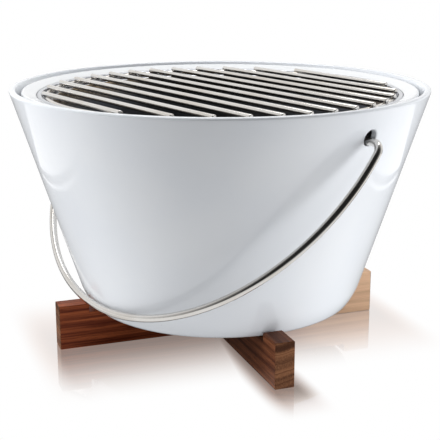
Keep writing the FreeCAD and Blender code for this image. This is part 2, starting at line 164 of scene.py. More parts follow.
def solid(name: str, points: np.ndarray, faces: list[list[int]], sharp: float = 40.0,
          marks: dict[str, np.ndarray] | None = None) -> Thing:
    """A closed smooth mesh at the origin, with its doubles merged and its faces turned outwards.

    Args:
        name: The object's name.
        points: Points (..., 3) in metres.
        faces: Point numbers of each face.
        sharp: Edges that turn by more than this many degrees stay sharp.
        marks: Attributes by name, one number per point.

    Returns:
        The new object.
    """
    mesh = bpy.data.meshes.new(name)
    mesh.from_pydata(points.reshape(-1, 3).tolist(), [], faces)
    for mark, numbers in (marks or {}).items():
        layer = mesh.attributes.new(mark, "FLOAT", "POINT")
        layer.data.foreach_set("value", numbers.astype(np.float32).ravel())
    work = bmesh.new()
    work.from_mesh(mesh)
    bmesh.ops.remove_doubles(work, verts=work.verts, dist=1e-6)
    bmesh.ops.recalc_face_normals(work, faces=work.faces)
    work.to_mesh(mesh)
    work.free()
    mesh.polygons.foreach_set("use_smooth", np.ones(len(mesh.polygons), bool))
    mesh.set_sharp_from_angle(angle=math.radians(sharp))
    thing = bpy.data.objects.new(name, mesh)
    bpy.context.scene.collection.objects.link(thing)
    return thing


def lathed(name: str, outline: np.ndarray, columns: int, centre: tuple[float, float] = (0.0, 0.0),
           marks: dict[str, np.ndarray] | None = None) -> Thing:
    """A solid of revolution about an upright axis.

    Args:
        name: The object's name.
        outline: Points (n, 2) of radius and height, from axis to axis, or ending where it starts.
        columns: Steps round the axis.
        centre: Where the axis stands.
        marks: Attributes by name, one number per outline point.

    Returns:
        The new object.
    """
    points = turned_points(outline, columns) + np.array([*centre, 0.0])
    spread = {mark: np.repeat(numbers, columns) for mark, numbers in (marks or {}).items()}
    return solid(name, points, quads(len(outline), columns).reshape(-1, 4).tolist(), marks=spread)


def wire(name: str, path: np.ndarray, normal: np.ndarray, radius: float, end_round: float,
         columns: int = 32) -> Thing:
    """A round wire along a flat open path, with rounded end edges.

    At each point of the path a ring stands square to it: point + radius (normal cos a + side sin a), where
    side is the path's direction crossed with the normal. At the ends the ring's radius is
    radius - e + e sin t at e (1 - cos t) from the end, and a last ring of no radius closes the end face.

    Args:
        name: The object's name.
        path: Points (n, 3) from end to end, with straight runs longer than end_round at both ends.
        normal: Unit normal of the plane that the path lies in.
        radius: The wire's radius.
        end_round: Rounding e of the end edges.
        columns: Steps round the wire.

    Returns:
        The new object.
    """
    turn = np.linspace(0.0, 0.5 * np.pi, 6)[:, None]
    first, last = path[1] - path[0], path[-2] - path[-1]
    head = path[0] + first / np.linalg.norm(first) * end_round * (1.0 - np.cos(turn))
    tail = path[-1] + last / np.linalg.norm(last) * end_round * (1.0 - np.cos(turn))
    line = np.concatenate([head, path[1:-1], tail[::-1]])
    grow = (radius - end_round + end_round * np.sin(turn))[:, 0]
    girth = np.concatenate([grow, np.full(len(path) - 2, radius), grow[::-1]])
    along = np.gradient(line, axis=0)
    side = np.cross(along, normal)
    side /= np.linalg.norm(side, axis=1, keepdims=True)
    angle = (np.arange(columns) * FULL_TURN / columns)[None, :, None]
    rings = line[:, None] + (normal * np.cos(angle) + side[:, None] * np.sin(angle)) * girth[:, None, None]
    caps = [np.repeat(end[None, None], columns, axis=1) for end in (line[0], line[-1])]
    points = np.concatenate([caps[0], rings, caps[1]])
    return solid(name, points, quads(len(points), columns).reshape(-1, 4).tolist())


def wire_ring(name: str, ring_radius: float, radius: float, height: float) -> Thing:
    """A level ring of round wire: ring_radius + radius cos b at height + radius sin b, turned about Z."""
    angle = np.linspace(0.0, FULL_TURN, 29)
    outline = np.stack([ring_radius + radius * np.cos(angle), height + radius * np.sin(angle)], axis=1)
    return lathed(name, outline, 288)


# ---------------------------------------------------------------- finishes


class Shading:
    """One material's nodes, wired by short calls around its Principled shader."""

    def __init__(self, name: str) -> None:
        """Makes the material and reads its Object coordinates."""
        self.material = bpy.data.materials.new(name)
        self.material.use_nodes = True
        self.tree = self.material.node_tree
        self.shader = self.tree.nodes["Principled BSDF"]
        self.place = self.node("ShaderNodeTexCoord").outputs["Object"]

    def node(self, kind: str, **settings: object) -> bpy.types.Node:
        """A new node with its settings."""
        made = self.tree.nodes.new(kind)
        for setting, choice in settings.items():
            setattr(made, setting, choice)
        return made

    def feed(self, socket: Socket, source: object) -> None:
        """Links a source to a socket, or sets the socket where the source is a plain value."""
        if isinstance(source, Socket):
            self.tree.links.new(source, socket)
        else:
            socket.default_value = source

    def surface(self, **inputs: object) -> bpy.types.Material:
        """Sets the shader's sockets by name, with _ for a space, and gives the finished material."""
        for socket, source in inputs.items():
            if isinstance(source, tuple):
                source = (*source, 1.0)
            self.feed(self.shader.inputs[socket.replace("_", " ")], source)
        return self.material

    def calc(self, operation: str, *terms: object, clamp: bool = False) -> Socket:
        """A Math node."""
        made = self.node("ShaderNodeMath", operation=operation, use_clamp=clamp)
        for socket, term in zip(made.inputs, terms):
            self.feed(socket, term)
        return made.outputs[0]

    def distance(self, first: Socket, second: Socket) -> Socket:
        """How far two offsets at a right angle reach: the square root of the sum of their squares."""
        squares = (self.calc("MULTIPLY", part, part) for part in (first, second))
        return self.calc("SQRT", self.calc("ADD", *squares))

    def span(self, source: Socket, low: float, high: float, start: float = 0.0, stop: float = 1.0) -> Socket:
        """A smooth step from start, at low, to stop, at high."""
        made = self.node("ShaderNodeMapRange", interpolation_type="SMOOTHSTEP")
        for socket, term in zip(made.inputs, (source, low, high, start, stop)):
            self.feed(socket, term)
        return made.outputs[0]

    def axes(self, place: Socket) -> tuple[Socket, Socket, Socket]:
        """The three parts of a place."""
        made = self.node("ShaderNodeSeparateXYZ")
        self.feed(made.inputs[0], place)
        return made.outputs[0], made.outputs[1], made.outputs[2]

    def point(self, *parts: object) -> Socket:
        """A place from its three parts."""
        made = self.node("ShaderNodeCombineXYZ")
        for socket, part in zip(made.inputs, parts):
            self.feed(socket, part)
        return made.outputs[0]

    def mapped(self, move: Colour = (0.0, 0.0, 0.0), turn: Colour = (0.0, 0.0, 0.0),
               scale: Colour = (1.0, 1.0, 1.0), place: Socket | None = None) -> Socket:
        """Coordinates scaled, then turned, then moved."""
        made = self.node("ShaderNodeMapping")
        for socket, term in zip(made.inputs, (place or self.place, move, turn, scale)):
            self.feed(socket, term)
        return made.outputs[0]

    def noise(self, place: Socket, scale: float, detail: float = 3.0, rough: float = 0.5) -> Socket:
        """Soft noise from 0 to 1."""
        made = self.node("ShaderNodeTexNoise")
        for socket, term in (("Vector", place), ("Scale", scale), ("Detail", detail), ("Roughness", rough)):
            self.feed(made.inputs[socket], term)
        return made.outputs["Fac"]

    def specks(self, scale: float, size: float, share: float) -> Socket:
        """Round specks: 1 near the middle of a share of the cells that space is cut into, and 0 elsewhere.

        Args:
            scale: Cells per metre.
            size: Radius of a speck, as a share of a cell.
            share: Share of the cells that hold a speck.

        Returns:
            The socket that is 1 on a speck.
        """
        made = self.node("ShaderNodeTexVoronoi")
        self.feed(made.inputs["Vector"], self.place)
        self.feed(made.inputs["Scale"], scale)
        chosen = self.calc("GREATER_THAN", self.axes(made.outputs["Color"])[0], 1.0 - share)
        return self.calc("MULTIPLY", self.span(made.outputs["Distance"], size, 0.6 * size), chosen)

    def ramp(self, source: Socket, *stops: tuple[float, Colour]) -> Socket:
        """A colour for each number, blended between the stops."""
        made = self.node("ShaderNodeValToRGB")
        elements = made.color_ramp.elements
        for index, (at, colour) in enumerate(stops):
            stop = elements[index] if index < 2 else elements.new(at)
            stop.position, stop.color = at, (*colour, 1.0)
        self.feed(made.inputs[0], source)
        return made.outputs[0]

    def mix(self, share: object, first: object, second: object) -> Socket:
        """A blend of two colours."""
        made = self.node("ShaderNodeMix", data_type="RGBA")
        for socket, source in ((made.inputs[0], share), (made.inputs[6], first), (made.inputs[7], second)):
            self.feed(socket, (*source, 1.0) if isinstance(source, tuple) else source)
        return made.outputs[2]

    def bump(self, height: Socket, depth: float, strength: float = 1.0,
             over: Socket | None = None) -> Socket:
        """A normal bent by a height of the given depth in metres, on top of another bump if there is one."""
        made = self.node("ShaderNodeBump")
        terms = (("Height", height), ("Distance", depth), ("Strength", strength), ("Normal", over))
        for socket, term in terms:
            if term is not None:
                self.feed(made.inputs[socket], term)
        return made.outputs[0]


@dataclass(frozen=True)
class Glaze:
    """A glossy white glaze, a little uneven, with a few specks and a bare foot."""

    name: str
    tint: Colour
    deep: Colour
    bare_below: float
    # dull is the grey of smoke stain and of painted shade, where gaps and the pot's inside would fall into
    # shade.
    dull: Colour = (0.20, 0.19, 0.18)
    gloss: float = 0.06
    clay: Colour = (0.62, 0.57, 0.50)
    speck: Colour = (0.30, 0.25, 0.20)

    def material(self) -> bpy.types.Material:
        """Cloudy tint with specks, ripples and orange peel, clay at the foot, and by its attribute a grey
        that is smoke stain and painted shade.
        """
        made = Shading(self.name)
        cloud = made.noise(made.place, 14.0, 4.0)
        colour = made.mix(made.span(cloud, 0.3, 0.7), self.tint, self.deep)
        colour = made.mix(made.calc("MULTIPLY", made.specks(75.0, 0.022, 0.3), 0.7), colour, self.speck)
        colour = made.mix(made.calc("MULTIPLY", made.specks(230.0, 0.05, 0.12), 0.3), colour, self.speck)
        # Painted shade, partly smoke stain: the attribute greys the glaze where the gap and the pot's inside
        # lie in shade.
        smoke_and_shade = made.node("ShaderNodeAttribute", attribute_name="smoke_and_shade").outputs["Fac"]
        colour = made.mix(smoke_and_shade, colour, self.dull)
        height = made.axes(made.place)[2]
        wander = made.calc("MULTIPLY_ADD", made.noise(made.place, 60.0), 0.6 * MM, self.bare_below)
        bare = made.calc("LESS_THAN", height, wander)
        grit = made.noise(made.place, 1500.0, 2.0)
        clay = made.mix(grit, self.clay, tuple(0.8 * part for part in self.clay))
        rough = made.span(made.noise(made.place, 35.0), 0.3, 0.7, self.gloss, self.gloss + 0.04)
        rough = made.calc("MAXIMUM", rough, made.calc("MULTIPLY", made.calc("MAXIMUM", bare, smoke_and_shade), 0.85))
        ripple = made.bump(made.noise(made.place, 22.0, 2.0), 0.5 * MM, 0.5)
        peel = made.bump(made.noise(made.place, 260.0, 2.0), 0.02 * MM, 0.6, ripple)
        return made.surface(Base_Color=made.mix(bare, colour, clay), Roughness=rough, Normal=peel, IOR=1.52)


@dataclass(frozen=True)
class WireSteel:
    """Drawn and polished stainless wire."""

    name: str
    grain: Grain
    turn: float = 0.0
    bow_centre: Colour = (0.0, 0.0, 0.0)
    tint: Colour = (0.75, 0.73, 0.70)
    stain: Colour = (0.66, 0.62, 0.57)
    gloss: float = 0.11

    def lines(self, made: Shading) -> Socket:
        """Coordinates in which a noise makes lines along the wire.

        Args:
            made: The material's nodes.

        Returns:
            Coordinates in metres, hardly changing along the wire.
        """
        if self.grain is Grain.STRAIGHT:
            return made.mapped(scale=(0.02, 1.0, 1.0), place=made.mapped(turn=(0.0, 0.0, -self.turn)))
        if self.grain is Grain.ROUND:
            x, y, z = made.axes(made.place)
            return made.point(made.distance(x, y), z, 0.0)
        moved = made.mapped(move=tuple(-part for part in self.bow_centre))
        x, y, z = made.axes(made.mapped(turn=(self.turn, 0.0, 0.0), place=moved))
        return made.point(made.distance(x, z), y, 0.0)

    def material(self) -> bpy.types.Material:
        """The steel: fine draw lines, handling marks that dull the polish, and a faint warm stain."""
        made = Shading(self.name)
        lines = self.lines(made)
        drawn = made.noise(lines, 2600.0, 3.0, 0.6)
        marks = made.noise(made.place, 90.0, 5.0, 0.6)
        rough = made.calc("ADD", made.span(marks, 0.45, 0.8, self.gloss, self.gloss + 0.14),
                          made.calc("MULTIPLY", drawn, 0.05))
        colour = made.mix(made.span(made.noise(made.place, 24.0), 0.4, 0.75), self.tint, self.stain)
        return made.surface(Base_Color=colour, Metallic=1.0, Roughness=rough,
                            Normal=made.bump(drawn, 0.006 * MM, 0.5))


@dataclass(frozen=True)
class PanSteel:
    """The coal pan's spun steel: bright at its lip, tinted by heat below it and sooty where coals lie."""

    name: str
    tint: Colour = (0.52, 0.535, 0.57)
    straw: Colour = (0.50, 0.40, 0.28)
    blue: Colour = (0.17, 0.18, 0.21)
    soot: Colour = (0.012, 0.011, 0.010)
    ash: Colour = (0.10, 0.095, 0.09)

    def material(self) -> bpy.types.Material:
        """The steel by its scorch attribute: 0 is bright, then straw and blue, then soot up to 1."""
        made = Shading(self.name)
        x, y, z = made.axes(made.place)
        spun = made.noise(made.point(made.distance(x, y), z, 0.0), 1800.0, 3.0, 0.6)
        heat = made.node("ShaderNodeAttribute", attribute_name="scorch").outputs["Fac"]
        patchy = made.noise(made.place, 26.0, 5.0, 0.6)
        heat = made.calc("ADD", heat, made.calc("MULTIPLY", made.calc("SUBTRACT", patchy, 0.5),
                                                made.calc("MULTIPLY", heat, 0.5)))
        colour = made.ramp(heat, (0.05, self.tint), (0.9, self.soot), (0.3, self.straw), (0.55, self.blue))
        ashes = made.calc("MULTIPLY", made.span(made.noise(made.place, 110.0, 6.0, 0.7), 0.5, 0.75),
                          made.span(heat, 0.75, 1.0))
        colour = made.mix(made.calc("MULTIPLY", ashes, 0.5), colour, self.ash)
        rough = made.calc("ADD", made.span(heat, 0.2, 0.9, 0.10, 0.62), made.calc("MULTIPLY", spun, 0.06))
        normal = made.bump(spun, 0.008 * MM, 0.5)
        normal = made.bump(made.noise(made.place, 420.0, 5.0, 0.7), 0.12 * MM, 0.5, normal)
        bare = made.span(heat, 0.55, 0.95, 1.0, 0.1)
        return made.surface(Base_Color=colour, Metallic=bare, Roughness=rough, Normal=normal)


@dataclass(frozen=True)
class BurntSteel:
    """Steel rods that glow in every fire: blue-black oxide with rusty and ashy patches."""

    name: str
    oxide: Colour = (0.055, 0.052, 0.055)
    rust: Colour = (0.16, 0.075, 0.04)
    ash: Colour = (0.22, 0.21, 0.20)

    def material(self) -> bpy.types.Material:
        """The oxide with rust and ash in patches, pitted."""
        made = Shading(self.name)
        patches = made.noise(made.place, 60.0, 5.0, 0.65)
        colour = made.mix(made.span(patches, 0.5, 0.7), self.oxide, self.rust)
        colour = made.mix(made.span(made.noise(made.place, 130.0, 6.0, 0.7), 0.55, 0.8), colour, self.ash)
        pits = made.bump(made.noise(made.place, 900.0, 4.0, 0.7), 0.1 * MM, 0.6)
        return made.surface(Base_Color=colour, Metallic=made.span(patches, 0.45, 0.75, 0.8, 0.2),
                            Roughness=made.span(patches, 0.3, 0.8, 0.38, 0.75), Normal=pits)


@dataclass(frozen=True)
class OiledWood:
    """A dark red hardwood bar, oiled: growth rings about a far pith, fibres, pores and a dry end grain."""

    name: str
    turn: float
    half_length: float
    pith: tuple[float, float]
    sap_and_lit_from: float
    dark: Colour
    light: Colour
    # sap is a pale sapwood tone that is also painted light: the lower bar's far end is lighter as if a lamp
    # fell on it.
    sap_and_lit_end: Colour = (0.78, 0.52, 0.34)
    end_dark: Colour = (0.052, 0.018, 0.008)
    end_light: Colour = (0.24, 0.105, 0.050)
    ring_step: float = 7.5 * MM
    sap_and_lit_blend: float = 50.0 * MM

    def material(self) -> bpy.types.Material:
        """The wood. Its rings are sin(2 pi d / step), with d the distance from a pith that wanders."""
        made = Shading(self.name)
        local = made.mapped(turn=(0.0, 0.0, -self.turn))
        x, y, z = made.axes(local)
        wander = made.noise(made.mapped(scale=(5.0, 22.0, 22.0), place=local), 1.0, 3.0)
        off_y = made.calc("MULTIPLY_ADD", wander, 6.0 * MM, made.calc("SUBTRACT", y, self.pith[0]))
        off_z = made.calc("MULTIPLY_ADD", wander, 14.0 * MM, made.calc("SUBTRACT", z, self.pith[1]))
        from_pith = made.distance(off_y, off_z)
        rings = made.calc("SINE", made.calc("MULTIPLY", from_pith, FULL_TURN / self.ring_step))
        fibres = made.noise(made.mapped(scale=(16.0, 900.0, 900.0), place=local), 1.0, 6.0, 0.7)
        streaks = made.noise(made.mapped(scale=(4.0, 210.0, 210.0), place=local), 1.0, 4.0, 0.6)
        shade = made.calc("MULTIPLY_ADD", rings, 0.045, made.calc("ADD", made.calc("MULTIPLY", fibres, 0.5),
                                                                  made.calc("MULTIPLY", streaks, 0.5)))
        veins = made.noise(made.mapped(scale=(7.0, 260.0, 260.0), place=local), 1.0, 2.0)
        veins = made.span(made.calc("ABSOLUTE", made.calc("SUBTRACT", veins, 0.5)), 0.035, 0.0)
        pores = made.noise(made.mapped(scale=(55.0, 1500.0, 1500.0), place=local), 1.0, 2.0)
        pores = made.span(pores, 0.62, 0.7)
        side = made.mix(made.span(shade, 0.33, 0.68), self.dark, self.light)
        side = made.mix(made.calc("MULTIPLY", made.calc("MAXIMUM", pores, veins), 0.55), side, self.dark)
        # Painted light, partly sapwood: past a wandering border along the bar the side turns pale orange, as
        # if lit.
        border = made.calc("MULTIPLY_ADD", streaks, 30.0 * MM, x)
        sap_and_lit_end = made.span(border, self.sap_and_lit_from, self.sap_and_lit_from + self.sap_and_lit_blend)
        side = made.mix(made.calc("MULTIPLY", sap_and_lit_end, made.span(shade, 0.2, 0.7, 0.55, 1.0)), side, self.sap_and_lit_end)
        end = made.span(made.calc("ABSOLUTE", x), self.half_length - 0.7 * MM, self.half_length - 0.3 * MM)
        band = made.noise(made.point(from_pith, 0.0, 0.0), 150.0, 1.0)
        late = made.calc("FRACT", made.calc("DIVIDE", from_pith, self.ring_step))
        late = made.span(late, 0.0, 0.14, 1.0, 0.0)
        end_shade = made.calc("MULTIPLY_ADD", made.noise(local, 700.0, 4.0, 0.7), 0.35, band)
        across = made.mix(made.span(end_shade, 0.5, 0.85), self.end_dark, self.end_light)
        across = made.mix(made.calc("MULTIPLY", late, 0.7), across, self.end_dark)
        rough = made.calc("ADD", made.span(fibres, 0.2, 0.8, 0.36, 0.46), made.calc("MULTIPLY", end, 0.12))
        normal = made.bump(fibres, 0.10 * MM, 0.35)
        normal = made.bump(pores, -0.12 * MM, 0.5, normal)
        return made.surface(Base_Color=made.mix(end, side, across), Roughness=rough, Normal=normal,
                            Specular_IOR_Level=0.05, Coat_Weight=0.07, Coat_Roughness=0.28)


@dataclass(frozen=True)
class Silicone:
    """Dark matt silicone with a dusty bloom."""

    name: str
    tint: Colour = (0.030, 0.030, 0.032)
    bloom: Colour = (0.085, 0.082, 0.080)

    def material(self) -> bpy.types.Material:
        """The silicone: cloudy bloom over a fine moulded texture."""
        made = Shading(self.name)
        cloud = made.noise(made.place, 180.0, 5.0, 0.6)
        grit = made.noise(made.place, 2400.0, 2.0)
        colour = made.mix(made.span(cloud, 0.45, 0.8), self.tint, self.bloom)
        rough = made.span(cloud, 0.3, 0.8, 0.55, 0.8)
        return made.surface(Base_Color=colour, Roughness=rough, Normal=made.bump(grit, 0.03 * MM, 0.5))


# ------------------------------------------------------------------ pieces


def dress(thing: Thing, material: bpy.types.Material, body: Body, slot: str, *nodes: str) -> Thing:
    """Finishes a piece: its material, the body it rides on and the nodes that it stands for.

    Args:
        thing: The piece.
        material: Its material.
        body: The body that it moves with.
        slot: Not used.
        nodes: The frame's nodes that the piece replaces.

    Returns:
        The same piece.
    """
    thing.data.materials.append(material)
    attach(thing, body.value)
    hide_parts(*nodes)
    log.info("%s rides on %s, with %d faces", thing.name, body.value, len(thing.data.polygons))
    return thing


@dataclass
class OuterPot:
    """The tapered porcelain pot with its two handle holes."""

    rim_radius: float = 170.4 * MM
    foot_radius: float = 112.8 * MM
    wall: float = 5.5 * MM
    floor: float = 7.0 * MM
    lip_round: float = 1.8 * MM
    toe_inset: float = 4.0 * MM
    toe_height: float = 12.0 * MM
    toe_blend: float = 55.0 * MM
    toe_round: float = 9.0 * MM
    inner_round: float = 10.0 * MM
    foot_ring: float = 14.0 * MM
    foot_relief: float = 1.5 * MM
    hole_radius: float = 6.0 * MM
    hole_drop: float = 22.0 * MM
    hole_round: float = 1.2 * MM
    # Smoke stain and painted shade: a grey band inside the pot, from just under the rim down, that darkens
    # the gap to the bowl.
    smoke_and_shade_start: float = 7.0 * MM
    smoke_and_shade_fade: float = 9.0 * MM
    smoke_and_shade_end: float = 70.0 * MM
    smoke_and_shade_tail: float = 40.0 * MM
    smoke_and_shade_edge: float = 0.2 * MM
    window: float = 12.0 * MM
    window_cells: int = 12
    tint: Colour = (0.80, 0.825, 0.86)
    deep: Colour = (0.77, 0.80, 0.845)
    columns: int = 480
    longest: float = 4.0 * MM

    def __post_init__(self) -> None:
        """Reads the pot's foot and rim from the frame."""
        low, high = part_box("outer_pot")
        self.seat, self.rim = low.z, high.z
        self.slope = (self.rim_radius - self.foot_radius) / (self.rim - self.seat)
        self.hole_z = self.rim - self.hole_drop

    def radius(self, height: np.ndarray | float) -> np.ndarray | float:
        """Outer radius of the straight wall at a height."""
        return self.foot_radius + self.slope * (height - self.seat)

    def outline(self) -> tuple[np.ndarray, int, int]:
        """The wall's outline, from the axis under the foot to the axis on the inner floor.

        Returns:
            The points, and the rows where the outer window starts, going up, and the inner one, going down.
        """
        seat, rim, wall = self.seat, self.rim, self.wall
        low, high = self.hole_z - self.window, self.hole_z + self.window
        toe, toe_top, floor_z = self.foot_radius - self.toe_inset, seat + self.toe_height, seat + self.floor
        inside_foot, relief = toe - self.toe_round - self.foot_ring, seat + self.foot_relief
        below = rounded(np.array([
            (0.0, relief), (inside_foot, relief), (inside_foot, seat), (toe, seat),
            (self.radius(toe_top), toe_top), (self.radius(low), low),
        ]), np.array([0.0, 0.4 * MM, 0.6 * MM, self.toe_round, self.toe_blend, 0.0]))
        above = rounded(np.array([
            (self.radius(high), high), (self.rim_radius, rim), (self.rim_radius - wall, rim),
            (self.radius(high) - wall, high),
        ]), np.array([0.0, self.lip_round, self.lip_round, 0.0]))
        inside = rounded(np.array([
            (self.radius(low) - wall, low), (self.radius(floor_z) - wall, floor_z), (0.0, floor_z),
        ]), np.array([0.0, self.inner_round, 0.0]))
        rise = np.linspace(low, high, self.window_cells + 1)[1:-1]
        outer = np.stack([self.radius(rise), rise], axis=1)
        inner = np.stack([self.radius(rise[::-1]) - wall, rise[::-1]], axis=1)
        below, above, inside = (evened(part, self.longest) for part in (below, above, inside))
        first = len(below) - 1
        second = len(below) + len(outer) + len(above) - 1
        return np.concatenate([below, outer, above, inner, inside]), first, second

    def rim_of_window(self, row: int, middle: int, upward: bool) -> np.ndarray:
        """The grid points round a window, anticlockwise from its lower left corner.

        Args:
            row: The row where the window starts.
            middle: The column through the hole's centre.
            upward: True where the rows go up, as on the outer wall.

        Returns:
            Point numbers (4 * window_cells,).
        """
        cells = self.window_cells
        run, stay, back = np.arange(cells), np.full(cells, cells), np.arange(cells, 0, -1)
        across = np.concatenate([run, stay, back, np.zeros(cells, int)])
        up = np.concatenate([np.zeros(cells, int), run, stay, back])
        rows = row + up if upward else row + cells - up
        return rows * self.columns + (middle - cells // 2 + across) % self.columns

    def hole(self, outer: np.ndarray, inner: np.ndarray) -> np.ndarray:
        """The surface that joins the outer window's edge to the inner one's, through the wall.

        Each ring keeps the edge points' angles round the hole. On a wall, x is the square root of
        (the wall's radius at z) squared - y squared. In the mouth, the distance from the hole's axis is
        hole + e (1 - sin t) and the depth under the wall is e (1 - cos t).

        Args:
            outer: Points (n, 3) of the outer window's edge.
            inner: Points (n, 3) of the inner window's edge.

        Returns:
            Points (rings, n, 3).
        """
        side = np.sign(outer[0, 0])
        angle = np.arctan2(outer[:, 2] - self.hole_z, outer[:, 1])
        away = np.stack([np.cos(angle), np.sin(angle)], axis=1)
        centre, mouth = np.array([0.0, self.hole_z]), self.hole_radius + self.hole_round

        def on_wall(flat: np.ndarray, inset: float, depth: float) -> np.ndarray:
            """Points at y and z on a wall set in from the outer one, and that far below its surface."""
            reach = np.sqrt((self.radius(flat[:, 1]) - inset) ** 2 - flat[:, 0] ** 2)
            return np.concatenate([side * (reach - depth)[:, None], flat], axis=1)

        shares = np.linspace(1.0, 0.0, 5)[1:, None, None]
        turn = np.linspace(0.0, 0.5 * np.pi, 7)[1:]
        ring = centre + away * mouth
        rings = [outer[None]]
        rings += [on_wall(flat, 0.0, 0.0)[None] for flat in ring + (outer[:, 1:] - ring) * shares]
        for t in turn:
            flat = centre + away * (self.hole_radius + self.hole_round * (1.0 - math.sin(t)))
            rings.append(on_wall(flat, 0.0, self.hole_round * (1.0 - math.cos(t)))[None])
        for t in turn[::-1]:
            flat = centre + away * (self.hole_radius + self.hole_round * (1.0 - math.sin(t)))
            rings.append(on_wall(flat, self.wall, -self.hole_round * (1.0 - math.cos(t)))[None])
        rings += [on_wall(flat, self.wall, 0.0)[None]
                  for flat in ring + (inner[:, 1:] - ring) * shares[::-1]]
        rings.append(inner[None])
        return np.concatenate(rings)

    def build(self) -> Thing:
        """The turned wall with a window at each hole, and each hole's surface in its window."""
        outline, first, second = self.outline()
        grid = turned_points(outline, self.columns)
        points, faces = grid.reshape(-1, 3), quads(len(outline), self.columns)
        keep = np.ones(faces.shape[:2], bool)
        cells, parts, extra = self.window_cells, [points], []
        count = len(points)
        for middle in (0, self.columns // 2):
            across = (middle - cells // 2 + np.arange(cells)) % self.columns
            for row in (first, second):
                keep[row:row + cells, across] = False
            rings = self.hole(points[self.rim_of_window(first, middle, True)],
                              points[self.rim_of_window(second, middle, False)])
            parts.append(rings.reshape(-1, 3))
            extra += (quads(len(rings), rings.shape[1]).reshape(-1, 4) + count).tolist()
            count += rings.shape[0] * rings.shape[1]
        places = np.concatenate(parts)
        ray = np.hypot(places[:, 0], places[:, 1])
        # Painted shade, partly smoke stain: the inside greys from just under the rim and fades out further
        # down.
        inside = ray < self.radius(places[:, 2]) - self.wall + self.smoke_and_shade_edge
        depth = self.rim - places[:, 2]
        smoke_and_shade = np.clip((depth - self.smoke_and_shade_start) / self.smoke_and_shade_fade, 0.0, 1.0)
        smoke_and_shade *= inside * np.clip((self.smoke_and_shade_end - depth) / self.smoke_and_shade_tail, 0.0, 1.0)
        thing = solid("pot_shell", places, faces[keep].tolist() + extra, marks={"smoke_and_shade": smoke_and_shade})
        glaze = Glaze("pot_glaze", self.tint, self.deep, self.seat + 1.0 * MM)
        return dress(thing, glaze.material(), Body.POT, "pot_glaze", "outer_pot")


@dataclass
class BowlPads:
    """The round silicone pads that carry the inner bowl."""

    count: int = 4
    edge_round: float = 0.8 * MM

    def build(self) -> list[Thing]:
        """The pads, each turned about its own axis."""
        material = Silicone("pad_silicone").material()
        pads = []
        for number in range(1, self.count + 1):
            node = f"bowl_pad_{number}"
            low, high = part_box(node)
            radius, e = (high.x - low.x) / 2, self.edge_round
            outline = rounded(np.array([(0.0, low.z), (radius, low.z), (radius, high.z), (0.0, high.z)]),
                              np.array([0.0, e, e, 0.0]))
            thing = lathed(f"pad_{number}", outline, 64, ((low.x + high.x) / 2, (low.y + high.y) / 2))
            pads.append(dress(thing, material, Body.POT, "pad_rubber", node))
        return pads


@dataclass
class InnerBowl:
    """The porcelain bowl: sloping flange, step for the coal pan and tapered wall."""

    flange_width: float = 12.0 * MM
    flange_rise: float = 3.6 * MM
    flange_thick: float = 5.5 * MM
    flange_round: float = 1.9 * MM
    rebate_depth: float = 2.2 * MM
    rebate_width: float = 1.8 * MM
    wall: float = 5.2 * MM
    floor: float = 6.0 * MM
    floor_radius: float = 98.04 * MM
    corner_round: float = 12.0 * MM
    under_drop: float = 2.0 * MM
    # Smoke stain and painted shade on the bowl's hidden outer side, just under the flange, where the gap to
    # the pot is shaded.
    smoke_and_shade_fade: float = 2.0 * MM
    smoke_and_shade_end: float = 55.0 * MM
    smoke_and_shade_tail: float = 45.0 * MM
    tint: Colour = (0.83, 0.845, 0.86)
    deep: Colour = (0.80, 0.82, 0.84)
    longest: float = 4.0 * MM

    def build(self) -> Thing:
        """The bowl, turned from its outline, with an attribute on its hidden side for smoke stain and
        painted shade.
        """
        low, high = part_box("inner_bowl")
        foot, top, outer = low.z, self.crown(high.z), high.x
        inner, edge = outer - self.flange_width, top - self.flange_rise
        step, mouth, floor = edge - self.rebate_depth, inner - self.rebate_width, foot + self.floor
        slope = (mouth - self.floor_radius) / (step - floor)
        under = step - self.under_drop
        outside = [self.floor_radius + slope * (height - floor) + self.wall for height in (foot, under)]
        outline = rounded(np.array([
            (0.0, foot), (outside[0], foot), (outside[1], under), (outer, top - self.flange_thick),
            (outer, top), (inner, edge), (inner, step), (mouth, step), (self.floor_radius, floor),
            (0.0, floor),
        ]), np.array([0.0, self.corner_round, 1.0 * MM, self.flange_round, self.flange_round,
                      self.flange_round / 2, 0.4 * MM, 0.5 * MM, self.corner_round, 0.0]))
        outline = evened(outline, self.longest)
        # Painted shade, partly smoke stain: the outer side greys just under the flange and fades out lower
        # down.
        outer_side = np.arange(len(outline)) < int(np.argmax(outline[:, 0]))
        depth = top - self.flange_thick - outline[:, 1]
        smoke_and_shade = outer_side * np.clip(depth / self.smoke_and_shade_fade, 0.0, 1.0)
        smoke_and_shade *= np.clip((self.smoke_and_shade_end - depth) / self.smoke_and_shade_tail, 0.0, 1.0)
        thing = lathed("bowl_shell", outline, 480, marks={"smoke_and_shade": smoke_and_shade})
        glaze = Glaze("bowl_glaze", self.tint, self.deep, foot + 0.5 * MM)
        return dress(thing, glaze.material(), Body.BOWL, "bowl_glaze", "inner_bowl")

    def crown(self, rounded_top: float) -> float:
        """Height of the flange's outer corner before it is rounded.

        The flange falls inwards at an angle a, so a touching arc of radius r tops out at
        r (tan a + 1 / cos a - 1) below the sharp corner.

        Args:
            rounded_top: Height of the rounded edge.

        Returns:
            Height of the sharp corner.
        """
        a = math.atan2(self.flange_rise, self.flange_width)
        return rounded_top + self.flange_round * (math.tan(a) + 1.0 / math.cos(a) - 1.0)


